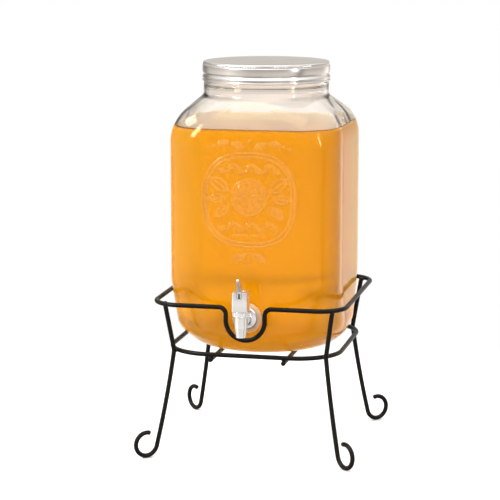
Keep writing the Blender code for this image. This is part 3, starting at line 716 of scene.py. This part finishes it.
def neck_rows(angles):
    """Rings up the outside of the neck, over its ledge, thread and rim, and down its inside."""
    rows = []
    ledge = FINISH_Z - LEDGE_HIGH
    for z in np.linspace(NECK_Z, ledge, 6)[1:]:
        rows.append(ring_points(NECK_R, z, angles))
    for t in np.linspace(0.15, 1, 6):
        r = NECK_R + (FINISH_R - NECK_R) * float(smooth_step(t))
        rows.append(ring_points(r, ledge + LEDGE_HIGH * t, angles))
    for z in np.linspace(FINISH_Z + 0.0006, RIM_Z - LIP_R - 0.0002, 32):
        rows.append(ring_points(FINISH_R + thread_height(angles, z), z, angles))
    rim = arc((FINISH_R - LIP_R, RIM_Z - LIP_R), LIP_R, 0, pi / 2, 6)
    rim += arc((MOUTH_R + LIP_R, RIM_Z - LIP_R), LIP_R, pi / 2, pi, 6)
    rows += [ring_points(r, z, angles) for r, z in rim]
    from_z, to_z = RIM_Z - 0.004, NECK_Z + 0.001
    to_r = NECK_R - JAR_WALL * (1 - SHOULDER_THINNING)
    for t in np.linspace(0, 1, 14):
        r = MOUTH_R + (to_r - MOUTH_R) * float(smooth_step(t))
        rows.append(ring_points(r, from_z + (to_z - from_z) * t, angles))
    return rows


def glass_jar(finish):
    """One closed skin: from the underside up the outside, over the rim and down the inside. Its
    "relief" attribute says where the ornament is."""
    angles = jar_angles(front_step=RELIEF_STEP, front_half=0.0535, other_steps=104)
    heel = heel_heights(26)
    outer_z = heel + list(np.linspace(heel[-1], ORNAMENT_LOW, 14)[1:])
    outer_z += list(np.arange(ORNAMENT_LOW, ORNAMENT_HIGH, RELIEF_STEP)[1:])
    outer_z += list(np.linspace(ORNAMENT_HIGH, NECK_Z, 34))
    base_r = JAR_HALF - HEEL_IN
    rows = [ring_points(base_r * share, JAR_BASE_Z + PUNT * up, angles) for share, up in UNDERSIDE]
    marks = {}
    for z in outer_z:
        reach = reach_of(*body_section(z), angles)
        facing = smooth_step((np.cos(angles) - 0.55) / 0.1)
        relief = ornament(reach * np.sin(angles), z) * facing
        marks[len(rows)] = relief
        rows.append(ring_points(reach + RELIEF * relief, z, angles))
    rows += neck_rows(angles)
    inner_z = list(np.linspace(NECK_Z, SHOULDER_Z, 40))
    inner_z += list(np.linspace(SHOULDER_Z, heel[-1], 16)[1:]) + heel[-3:2:-2]
    rows += [inner_row(z, angles) for z in inner_z]
    for r in (0.050, 0.034, 0.017, 0.003):
        rows.append(ring_points(r, JAR_BASE_Z + JAR_FLOOR, angles))
    jar = skin("jar", rows, finish)
    height = np.zeros((len(rows), len(angles)), dtype=np.float32)
    for row, relief in marks.items():
        height[row] = relief
    jar.data.attributes.new("relief", "FLOAT", "POINT").data.foreach_set("value", height.ravel())
    cut(jar, [drill((0, AXIS_Y - JAR_HALF, SHANK_Z), TAP_HOLE_R, 0.02, TO_Y)], 0)
    jar.data.set_sharp_from_angle(angle=radians(75))
    stands_for(jar, "jar", "clear_glass", "glass_jar")


def drink(finish):
    """The drink, a hair into the glass so that no air shows between them, with its meniscus."""
    angles = jar_angles(front_step=0.0035, front_half=0.060, other_steps=130)
    heel = heel_heights(18)
    into = 0.0002
    base_z = JAR_BASE_Z + JAR_FLOOR - into
    rows = [ring_points(r, base_z, angles) for r in (0.003, 0.025, 0.048)]
    rows += [inner_row(z, angles, into) - (0, 0, into) for z in heel[3:]]
    for z in np.linspace(heel[-1], DRINK_Z + MENISCUS, 60)[1:]:
        rows.append(inner_row(z, angles, into))
    axis = np.array((0, AXIS_Y, 0))
    spread = (rows[-1] - axis) * (1, 1, 0)
    length = np.linalg.norm(spread, axis=1)[:, None]
    for away in (0.0005, 0.0011, 0.0018, 0.0028, 0.0042, 0.0065, 0.010, 0.018, 0.035, 0.055, 0.075):
        moved = axis + spread * (1 - away / length)
        moved[:, 2] = DRINK_Z + MENISCUS * np.exp(-away / 0.0016)
        rows.append(moved)
    fill = skin("drink_fill", rows, finish)
    stands_for(fill, "jar", "orange_drink")


# ---------------- ornament
ORNAMENT_X, ORNAMENT_Z = 0.002, 0.2850
ORNAMENT_LOW, ORNAMENT_HIGH = 0.2080, 0.3560
# Leaves of the right half, in millimetres and degrees: across, up, lean, length, width
SIDE_LEAVES = ((32, 16, 38, 24, 6.5), (35, 1, -4, 20, 5.0), (30, -13, -40, 20, 5.0))
END_LEAVES = ((12, 58, 22, 14, 3.6), (11, -62, -24, 15, 4.0), (28, 60, -8, 13, 3.2))


def stroke(distance, half_width=0.25, soft=0.7):
    """A raised line where the distance is 0, with soft flanks."""
    return smooth_step((half_width + soft - np.abs(distance)) / soft)


def patch(inside, soft=0.8):
    return smooth_step(inside / soft)


def oval(x, z, wide, high, power=2.6):
    """Roughly the distance outside a rounded oval."""
    full = (np.abs(x / wide) ** power + np.abs(z / high) ** power) ** (1 / power) + 1e-9
    return np.hypot(x, z) * (1 - 1 / full)


def leaf(x, z, at, lean, long, wide):
    """A raised leaf outline with its midrib."""
    a = radians(lean)
    u = (x - at[0]) * cos(a) + (z - at[1]) * sin(a)
    v = -(x - at[0]) * sin(a) + (z - at[1]) * cos(a)
    half = wide * (1 - np.clip(np.abs(2 * u / long), 0, 1) ** 2)
    inside = np.minimum(half - np.abs(v), long / 2 - np.abs(u))
    rim = stroke(inside - 0.7)
    rib = stroke(v, 0.1) * patch(inside)
    return np.maximum(rim, rib)


def citrus(x, z, at, radius, segments=9):
    """A cut fruit: a round rim, with the outline of each segment inside."""
    x, z = x - at[0], z - at[1]
    r = np.hypot(x, z)
    step = 2 * pi / segments
    away = np.abs((np.arctan2(z, x) % step) - step / 2)
    gap = r * np.sin(step / 2 - away)
    pulp = stroke(np.minimum(np.minimum(gap - 1.4, radius - 4.6 - r), r - 4.0))
    return np.maximum(stroke(r - radius + 1.0), pulp)


def beads(x, z, places, radius=1.5):
    found = np.zeros_like(x)
    for u, v in places:
        found = np.maximum(found, patch(radius - np.hypot(x - u, z - v), 1.0))
    return found


def vine(x, z, level, reach, period=20.0, swing=3.4):
    """A waving stem with a small leaf at each half wave, on alternate sides."""
    wave = level + swing * np.sin(2 * pi * x / period)
    made = stroke((z - wave) / 1.35) * patch(reach - np.abs(x))
    for k in range(-int(reach / period * 2), int(reach / period * 2) + 1):
        at = k * period / 2
        side = 1 if k % 2 == 0 else -1
        made = np.maximum(made, leaf(x, z, (at, level + side * 2.6), 35 * side, 9, 2.3))
    return made


def ornament(x, z):
    """Height of the relief, 0 to 1, at places on the jar's front; it is laid out in millimetres."""
    if not ORNAMENT_LOW < z < ORNAMENT_HIGH:
        return np.zeros_like(x)
    x = (x - ORNAMENT_X) * 1000
    z = np.full_like(x, (z - ORNAMENT_Z) * 1000)
    parts = [stroke(oval(x, z, 46.5, 46)), stroke(oval(x, z, 50, 50))]
    parts.append(citrus(x, z, (0, 3), 20))
    for side in (-1, 1):
        for across, up, lean, long, wide in SIDE_LEAVES + END_LEAVES:
            parts.append(leaf(x, z, (side * across, up), side * lean, long, wide))
    parts.append(vine(x, z, 33, 30))
    parts.append(vine(x, z, -29, 31))
    parts.append(beads(x, z, [(u, -38) for u in range(-16, 17, 4)], 1.3))
    parts.append(beads(x, z, [(u, 63 - u * u / 260) for u in (-44, -38, 0, 38, 44)], 1.7))
    parts.append(beads(x, z, [(0, -57), (0, -64), (0, -70), (-4, -57), (4, -57)], 1.5))
    return np.maximum.reduce(parts)


# ---------------- lid
KNURL_TEETH, KNURL_DEEP, KNURL_HEAD, KNURL_FOOT = 150, 0.00042, 0.0008, 0.0038
LID_GAUGE = 0.0008


def lid(finish):
    """One sheet drawn to a cap: knurled edge, proud panel, groove, lower bead and curled rim."""
    top, low, r = LID_TOP_Z, LID_LOW_Z, LID_R
    profile = [(0.0, top), (r * 0.35, top), (r * 0.7, top)]
    profile += arc((r - 0.0024, top - 0.0016), 0.0016, pi / 2, 0.15, 8)
    profile += [(r - 0.0007, top - 0.0018), (r - 0.0006, top - 0.0023), (r - 0.0006, top - 0.0032)]
    profile += [(r - 0.0008, top - 0.0035), (r - 0.0008, top - 0.0038)]
    profile += arc((r - 0.0008, top - 0.0046), 0.0008, pi / 2, 0, 6)
    profile += [(r + 0.0002 * sin(pi * t), top - 0.0046 - 0.0064 * t) for t in np.linspace(0.1, 0.95, 7)]
    profile += arc((r - 0.0007, top - 0.0111), 0.0007, 0, -pi / 3, 4)
    groove = top - 0.0133
    profile += arc((r - 0.0001, groove), 0.0011, pi - 0.9, pi + 0.9, 8)
    profile += arc((r - 0.0014, groove - 0.0033), 0.0016, 0.9, -0.9, 9)
    profile += [(r - 0.0008, low + 0.0021)]
    profile += arc((r - 0.0006, low + 0.0009), 0.0009, 1.2, -pi, 12)
    inner = r - 0.0021
    profile += [(inner + 0.0004, low + 0.0021), (inner, low + 0.0060), (inner - 0.0002, groove + 0.002)]
    under = top - LID_GAUGE
    profile += [(inner, top - 0.0022), (inner - 0.0008, under - 0.0001), (0.0, under)]

    def knurl(radius, height, angles):
        above = smooth_step((height - top + KNURL_FOOT) / 0.0004)
        below = smooth_step((top - KNURL_HEAD - height) / 0.0004)
        outside = radius > r - 0.0016
        teeth = 0.5 + 0.5 * np.cos(angles * KNURL_TEETH)
        return radius - KNURL_DEEP * teeth * above * below * outside

    cap = turn("lid_shell", profile, finish, steps=900, sharp=None, shape=knurl)
    stands_for(cap, "lid", "tinplate", "lid_cap")


def lid_liner(finish):
    low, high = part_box("lid_gasket")
    r = size("lid_gasket").x / 2
    round_off, seal_wide = 0.0003, 0.0060
    web_z = low.z + round_off
    profile = [(0.0, high.z), (r - round_off, high.z), (r, high.z - round_off), (r, web_z)]
    profile += [(r - round_off, low.z), (r - seal_wide + 0.0004, low.z), (r - seal_wide, web_z)]
    profile += [(0.0, web_z)]
    disc = turn("lid_liner_disc", profile, finish, steps=128)
    stands_for(disc, "lid_liner", "white_liner", "lid_gasket")


# ---------------- tap
COLLAR_R, NOZZLE_TOP_R, NOZZLE_TIP_R, OUTLET_R = 0.0093, 0.0071, 0.0053, 0.0041
COLLAR_Z = COLLAR_TOP_Z - 0.0055
WINDOWS, WINDOW_DEEP = 10, 0.0010
FLANGE_R, ARM_R, SHANK_R, NUT_BORE_R = size("tap_body").x / 2, 0.0056, 0.0078, 0.0082
TO_Y = Matrix.Rotation(pi / 2, 4, "X")


def along_y(name, profile, finish):
    """A profile of (radius, y from the jar's axis) turned about the tap's shank."""
    piece = turn(name, profile, finish)
    piece.data.transform(Matrix.Translation((0, -AXIS_Y, 0)))
    piece.data.transform(Matrix.Translation((0, AXIS_Y, SHANK_Z)) @ TO_Y.inverted())
    return piece


def join(first, *others):
    shape = bmesh.new()
    for piece in (first, *others):
        shape.from_mesh(piece.data)
    shape.to_mesh(first.data)
    shape.free()
    for piece in others:
        bpy.data.objects.remove(piece, do_unlink=True)
    first.data.shade_smooth()
    first.data.set_sharp_from_angle(angle=EDGE_ANGLE)
    return first


def tap_body(finish):
    profile = [
        (OUTLET_R, NOZZLE_Z + 0.007),
        (OUTLET_R, NOZZLE_Z),
        (NOZZLE_TIP_R, NOZZLE_Z),
        (NOZZLE_TIP_R, NOZZLE_Z + 0.0015),
        (NOZZLE_TOP_R - 0.0003, SHANK_Z - 0.0050),
        (NOZZLE_TOP_R, COLLAR_Z - 0.0002),
        (COLLAR_R, COLLAR_Z),
        (COLLAR_R, COLLAR_TOP_Z),
        (0.0018, COLLAR_TOP_Z),
    ]
    corners = soften(profile, 0.0005)
    fine = []
    for a, b in zip(corners, corners[1:]):
        on_collar = abs(b[1] - a[1]) > 0.003 and a[0] > COLLAR_R - 0.0003
        shares = np.linspace(0, 1, 10 if on_collar else 1, endpoint=False)
        fine += [tuple(Vector(a).lerp(Vector(b), t)) for t in shares]
    fine.append(corners[-1])

    def windows(radius, height, angles):
        mid = (COLLAR_Z + COLLAR_TOP_Z) / 2
        band = smooth_step((0.0019 - np.abs(height - mid)) / 0.0003)
        ripple = smooth_step((np.cos(angles * WINDOWS) - 0.35) / 0.25)
        return radius - WINDOW_DEEP * band * ripple * (radius > COLLAR_R - 0.0004)

    barrel = turn("tap_barrel", fine, finish, steps=320, shape=windows, centre=(0, TAP_Y))
    washer = -JAR_HALF - size("tap_outer_washer").y - 0.0006
    inner_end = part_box("tap_body")[1].y - AXIS_Y
    neck = [(0.0012, TAP_Y), (ARM_R, TAP_Y + 0.002), (ARM_R, washer - 0.0062)]
    neck += [(0.0060, washer - 0.0046), (0.0075, washer - 0.0036)]
    neck += [(FLANGE_R - 0.0014, washer - 0.0034), (FLANGE_R, washer - 0.0024)]
    neck += [(FLANGE_R, washer), (SHANK_R, washer), (SHANK_R, washer + 0.010)]
    neck += [(0.0070, inner_end), (0.0012, inner_end)]
    arm = along_y("tap_arm", soften(neck, 0.0006), finish)
    body = join(barrel, arm)
    body.name = "tap_spout"
    stands_for(body, "jar", "chrome_plate", "tap_body")


BONNET_WIDE, BONNET_DEEP, BONNET_TAPER = 0.0168, 0.0180, 0.965
LEVER_SLOT, LEVER_WIDE, LEVER_BACK = 0.0054, 0.0046, 0.0056
BONNET_FLOOR_Z = PIN_Z - 0.0040
LIP_HIGH, LIP_BACK = 0.0018, -0.0076  # the lip in front of the slot; LIP_BACK is from the tap
SLOT_HIGH = 0.02
SPRING_SEAT_Z = BONNET_FLOOR_Z - 0.002
SPRING_BORE_R, STEM_HOLE_R = 0.0070, 0.0022


def tap_bonnet(finish):
    """A square block, rounded and drawn in a little towards the top, slotted for the lever."""
    high = BONNET_TOP_Z - BONNET_LOW_Z
    shape = bmesh.new()
    bmesh.ops.create_cube(shape, size=1)
    bmesh.ops.scale(shape, vec=(BONNET_WIDE, BONNET_DEEP, high), verts=shape.verts)
    top = [v for v in shape.verts if v.co.z > 0]
    bmesh.ops.scale(shape, vec=(BONNET_TAPER, BONNET_TAPER, 1), verts=top)
    upright = [e for e in shape.edges if abs(e.verts[0].co.z - e.verts[1].co.z) > high / 2]
    bmesh.ops.bevel(shape, geom=upright, offset=0.0022, segments=8, profile=0.5, affect="EDGES")
    centre = (0, TAP_AXIS_Y, (BONNET_LOW_Z + BONNET_TOP_Z) / 2)
    bmesh.ops.translate(shape, vec=centre, verts=shape.verts)
    block = solid("tap_bonnet_block", shape, finish)

    def slot_piece(front, back, floor_z):
        at = (0, TAP_AXIS_Y + (front + back) / 2, floor_z + SLOT_HIGH / 2)
        return cutter("cube", at, (LEVER_SLOT, back - front, SLOT_HIGH))

    slot = slot_piece(LIP_BACK, LEVER_BACK, BONNET_FLOOR_Z)
    over_lip = slot_piece(-BONNET_DEEP, LIP_BACK + 0.0001, BONNET_FLOOR_Z + LIP_HIGH)
    bore_high = SPRING_SEAT_Z - BONNET_LOW_Z + 0.004
    bore = drill((0, TAP_AXIS_Y, SPRING_SEAT_Z - bore_high / 2), SPRING_BORE_R, bore_high)
    hole = drill((0, TAP_AXIS_Y, BONNET_FLOOR_Z - 0.001), STEM_HOLE_R, 0.01)
    cut(block, [slot, over_lip, bore, hole], 0.00045)
    stands_for(block, "jar", "chrome_plate", "tap_bonnet")


VALVE_LIFT, LEVER_SWING = 0.0040, radians(60.0)
LEVER_LEAN, LEVER_LONG, LEVER_TIP_R, BLADE_HALF = radians(38.0), 0.0253, 0.0023, 0.0028
TIP_NARROWING, PIN_HOLE_R = 0.5, 0.0013
FORK_GAP, FORK_HIGH, FORK_DOWN = 0.0022, 0.0234, 0.0083  # down to its middle from the pin


def lever_outline():
    """The lever's side outline about its pin, as (y, z); its foot is the cam that lifts the pin."""
    low = PIN_Z - BONNET_FLOOR_Z - 0.0003
    rate = VALVE_LIFT / LEVER_SWING
    cam = []
    for swing in np.linspace(0, LEVER_SWING, 14):
        down = -pi / 2 - swing
        normal = Vector((cos(down), sin(down)))
        tangent = Vector((-sin(down), cos(down)))
        cam.append(normal * (low + rate * swing) - tangent * rate)
    back = [Vector(p) for p in arc((0, 0), low, radians(20), -pi / 2, 14)]
    out = Vector((-sin(LEVER_LEAN), cos(LEVER_LEAN)))
    behind = Vector((out.y, -out.x))
    tip_at = out * (LEVER_LONG - LEVER_TIP_R)
    tip = [Vector(p) for p in arc(tip_at, LEVER_TIP_R, LEVER_LEAN + pi, LEVER_LEAN, 14)]
    nose = [cam[-1] + Vector((-0.0003, 0.0015)), out * 0.0085 - behind * BLADE_HALF]
    return back + cam + nose + tip + [out * 0.0060 + behind * BLADE_HALF]


def tap_lever(finish):
    shape = bmesh.new()
    outline = [shape.verts.new((-LEVER_WIDE / 2, p.x, p.y)) for p in lever_outline()]
    grown = bmesh.ops.extrude_face_region(shape, geom=[shape.faces.new(outline)])
    moved = [v for v in grown["geom"] if isinstance(v, bmesh.types.BMVert)]
    bmesh.ops.translate(shape, vec=(LEVER_WIDE, 0, 0), verts=moved)
    for vert in shape.verts:
        vert.co.x *= 1 - TIP_NARROWING * float(smooth_step((vert.co.z - 0.008) / 0.010))
    bmesh.ops.translate(shape, vec=(0, TAP_AXIS_Y, PIN_Z), verts=shape.verts)
    lever = solid("tap_lever_blade", shape, finish)
    fork = cutter("cube", (0, TAP_AXIS_Y, PIN_Z - FORK_DOWN), (FORK_GAP, 0.04, FORK_HIGH))
    hole = drill((0, TAP_AXIS_Y, PIN_Z), PIN_HOLE_R, 0.01, Matrix.Rotation(pi / 2, 4, "Y"))
    cut(lever, [fork, hole], 0.00055)
    stands_for(lever, "lever", "chrome_plate", "tap_lever")


NUT_R = 0.0145  # to its corners


def flat_ring(bore_r, r, near, far, rounding, segments=4):
    """A washer's section as a closed profile, its corners rounded."""
    corners = [(bore_r, near), (r, near), (r, far), (bore_r, far), (bore_r, near)]
    return soften(corners, rounding, segments)[1:-1]


def washers_and_nut(silicone_finish, plastic_finish):
    for side in ("outer", "inner"):
        name = f"tap_{side}_washer"
        low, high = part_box(name)
        near, far = low.y - AXIS_Y, high.y - AXIS_Y
        section = flat_ring(NUT_BORE_R, size(name).x / 2, near, far, 0.0006, 6)
        ring = along_y(side + "_washer_ring", section, silicone_finish)
        stands_for(ring, "jar", "silicone", name)
    centre = (0, middle("tap_lock_nut").y, SHANK_Z)
    thick = size("tap_lock_nut").y
    shape = bmesh.new()
    bmesh.ops.create_cone(shape, cap_ends=True, segments=6, radius1=NUT_R, radius2=NUT_R, depth=thick)
    bmesh.ops.transform(shape, matrix=Matrix.Translation(centre) @ TO_Y, verts=shape.verts)
    nut = solid("lock_nut_hexagon", shape, plastic_finish)
    cut(nut, [drill(centre, NUT_BORE_R, 0.02, TO_Y)], 0.0007)
    stands_for(nut, "jar", "white_plastic", "tap_lock_nut")


def valve_parts(silicone_finish, plastic_finish, steel_finish):
    centre = (0, TAP_Y)
    low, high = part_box("valve_seal")
    r, hole_r = size("valve_seal").x / 2, 0.0015
    profile = [(hole_r, high.z), (r - 0.0005, high.z), (r, low.z + 0.003), (r, low.z + 0.0006)]
    profile += [(r - 0.0007, low.z), (hole_r, low.z)]
    cup = turn("valve_seal_cup", soften(profile, 0.0003), silicone_finish, 64, centre=centre)
    stands_for(cup, "valve", "silicone", "valve_seal")
    low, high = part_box("tap_gland_seal")
    section = flat_ring(0.0021, size("tap_gland_seal").x / 2, high.z, low.z, 0.0004)
    gland = turn("gland_seal_ring", section, silicone_finish, 64, centre=centre, close=True)
    stands_for(gland, "jar", "silicone", "tap_gland_seal")
    low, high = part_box("lever_pin")
    ends = np.linspace(low.x + 0.0002, high.x - 0.0002, 6)
    path = [(x, TAP_AXIS_Y, PIN_Z) for x in ends]
    rod = tube("lever_pin_rod", path, (high.z - low.z) / 2, steel_finish, 24)
    stands_for(rod, "valve", "stainless_steel", "lever_pin")
    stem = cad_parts["valve_stem"].data.materials
    stem.clear()
    stem.append(plastic_finish)


def valve_spring(finish):
    """The coil that holds the valve shut."""
    low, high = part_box("valve_spring")
    wire_r, turns = 0.00035, 4.5
    coil_r = size("valve_spring").x / 2 - wire_r
    points = []
    for t in np.linspace(0, 1, 220):
        a = 2 * pi * turns * t
        z = low.z + wire_r + (high.z - low.z - 2 * wire_r) * t
        points.append((coil_r * cos(a), TAP_AXIS_Y + coil_r * sin(a), z))
    coil = tube("valve_spring_coil", points, wire_r, finish, 12)
    stands_for(coil, "jar", "stainless_steel", "valve_spring")
    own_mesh(coil)


# ---------------- floor and light
def floor(finish):
    shape = bmesh.new()
    bmesh.ops.create_circle(shape, cap_ends=True, segments=96, radius=FLOOR_R)
    board = solid("floor", shape, finish, None)
    board.location = (0, AXIS_Y, 0)
    board.visible_glossy = False


LIGHT_AIM_Z = 0.22


def area_light(name, azimuth, elevation, distance, wide, high, power, mirrored_too=True):
    """A panel that faces the jar, its place in degrees round from the front and up."""
    data = bpy.data.lights.new(name, "AREA")
    data.shape = "RECTANGLE"
    data.size, data.size_y = wide, high
    data.energy = power
    made = linked(name, data)
    made.visible_glossy = mirrored_too
    aim = Vector((0, AXIS_Y, LIGHT_AIM_Z))
    look_from(made, aim, radians(azimuth), radians(elevation), distance)


def colour_mix(tree, share, first, second, blend="MIX"):
    made = tree.nodes.new("ShaderNodeMix")
    made.data_type = "RGBA"
    made.blend_type = blend
    for socket, value in (("Factor", share), (6, first), (7, second)):
        give(tree, made, socket, value)
    return made.outputs[2]


def arithmetic(tree, operation, first, second):
    made = add_node(tree, "Math")
    made.operation = operation
    give(tree, made, 0, first)
    give(tree, made, 1, second)
    return made.outputs["Value"]


# The room's walls, as (degrees round from the front, level), and what multiplies that level at
# each height, as (sine of the elevation, factor). The grey and the bright strips draw the edges
# of the glass and the shading of the metal.
LEFT_WALL = ((-150, 0.82), (-139, 0.34), (-126, 0.34), (-113, 0.9), (-75, 1.2), (-59, 1.5))
FRONT_WALL = ((-42, 1.1), (-20, 0.9), (50, 1.0), (64, 1.0), (75, 0.22), (86, 1.0), (112, 1.0))
BACK_WALL = ((136, 1.05), (150, 1.8), (158, 2.0), (164, 0.85), (168, 0.65), (174, 1.15), (180, 1.04))
WALLS = ((-180, 1.04), (-165, 1.04)) + LEFT_WALL + FRONT_WALL + BACK_WALL
BELOW = ((-1.0, 0.25), (-0.78, 0.3), (-0.55, 0.85), (-0.3, 0.95), (-0.2, 1.05))
SWEEP = BELOW + ((-0.14, 1.0), (-0.08, 0.9), (0.0, 0.78), (0.12, 0.62), (1.0, 0.62))
WALL_WHITE = (1.0, 0.965, 0.925)
CEILING = (1.75, 1.75, 1.76, 1)


def studio():
    """A white room with a bright ceiling, and bright and grey strips on its walls. The camera
    sees it plain white."""
    world = bpy.data.worlds.new("studio")
    bpy.context.scene.world = world
    world.use_nodes = True
    tree = world.node_tree

    def levels(value, stops):
        painted = [(at, [level * part for part in WALL_WHITE]) for at, level in stops]
        return add_ramp(tree, value, painted)

    generated = add_node(tree, "TexCoord").outputs["Generated"]
    towards = add_node(tree, "SeparateXYZ", Vector=generated).outputs
    forward = arithmetic(tree, "MULTIPLY", towards["Y"], -1.0)
    bearing = arithmetic(tree, "ARCTAN2", towards["X"], forward)
    turned = map_range(tree, bearing, From_Min=-pi, From_Max=pi)
    around = levels(turned, [(degree / 360 + 0.5, level) for degree, level in WALLS])
    upright = map_range(tree, towards["Z"], From_Min=-1.0)
    up_and_down = levels(upright, [(height / 2 + 0.5, level) for height, level in SWEEP])
    walls = colour_mix(tree, 1.0, around, up_and_down, "MULTIPLY")
    ceiling = map_range(tree, towards["Z"], From_Min=0.25, From_Max=0.75)
    room = colour_mix(tree, ceiling, walls, CEILING)
    to_camera = add_node(tree, "LightPath").outputs["Is Camera Ray"]
    seen = colour_mix(tree, to_camera, room, (1.0, 1.0, 1.0, 1))
    give(tree, tree.nodes["Background"], "Color", seen)
    area_light("key", -47, 30, 2.0, 0.42, 0.85, 22)
    area_light("fill", 64, 18, 2.2, 0.14, 0.9, 7)
    area_light("overhead", 0, 80, 2.0, 1.5, 1.5, 10)
    area_light("left_panel", -98, 38, 2.0, 1.1, 0.6, 19, mirrored_too=False)
    bpy.context.scene.view_settings.view_transform = "Standard"


# ---------------- build
def main():
    camera()
    coat, plate, soft, nylon, wire = powder_coat(), chrome(), silicone(), white_plastic(), steel()
    rack(coat)
    glass_jar(clear_glass())
    drink(orange_drink())
    lid(tinplate())
    lid_liner(liner())
    tap_body(plate)
    tap_bonnet(plate)
    tap_lever(plate)
    washers_and_nut(soft, nylon)
    valve_parts(soft, nylon, wire)
    valve_spring(wire)
    floor(pale_floor())
    studio()


main()
